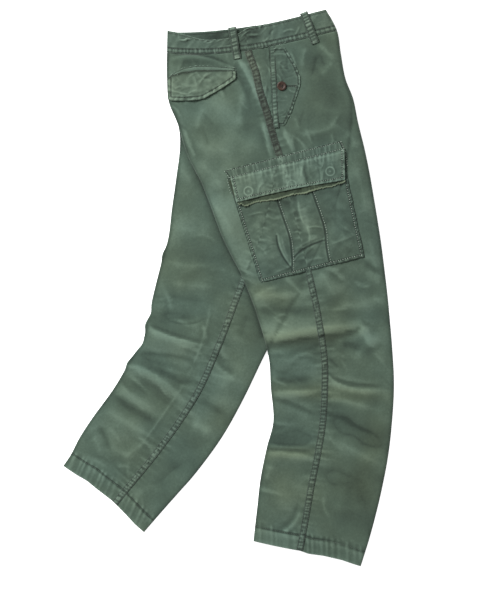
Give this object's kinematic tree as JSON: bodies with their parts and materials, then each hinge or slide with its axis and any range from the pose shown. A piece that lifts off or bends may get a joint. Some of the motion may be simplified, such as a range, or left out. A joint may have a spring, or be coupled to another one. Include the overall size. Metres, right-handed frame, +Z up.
{
  "type": "cargo pants",
  "caption": "Olive cargo trousers laid flat on their side, the under leg swung back, with a pleated cargo pocket and buttoned pockets.",
  "frame": {"origin": "middle of the garment's box on the surface that it lies on", "axes": "+Z up from the surface, +Y towards the waist, +X towards the front of the garment"},
  "size_m": [0.6438, 1.0843, 0.0182],
  "materials": {
    "leg_cloth": "washed matt twill",
    "waistband_cloth": "washed matt twill",
    "loop_cloth": "washed matt twill, worn at the ends",
    "pocket_cloth": "washed matt twill",
    "under_cloth": "less faded matt twill",
    "button_horn": "brown, satin"
  },
  "bodies": {
    "root": {"right_front": "leg_cloth", "right_back": "leg_cloth", "left_front": "leg_cloth", "left_back": "leg_cloth", "waistband_right": "waistband_cloth", "waistband_left": "waistband_cloth", "belt_loop_back_right": "loop_cloth", "belt_loop_front_right": "loop_cloth", "belt_loop_back_left": "loop_cloth", "belt_loop_front_left": "loop_cloth", "pocket_bearer_right": "under_cloth", "pocket_bearer_left": "under_cloth", "fly_underlap": "under_cloth", "cargo_flap_underlay_right": "under_cloth", "pocket_facing_right": "pocket_cloth", "pocket_facing_left": "pocket_cloth", "back_pocket_flap_right": "pocket_cloth", "back_pocket_flap_left": "pocket_cloth", "cargo_pocket_right": "pocket_cloth", "cargo_pocket_left": "pocket_cloth", "cargo_flap_right": "pocket_cloth", "cargo_flap_left": "pocket_cloth", "cargo_button_right_1": "button_horn", "cargo_button_right_2": "button_horn", "cargo_button_right_3": "button_horn", "pocket_button_right": "button_horn", "pocket_button_left": "button_horn", "waist_button": "button_horn"}
  },
  "joints": []
}
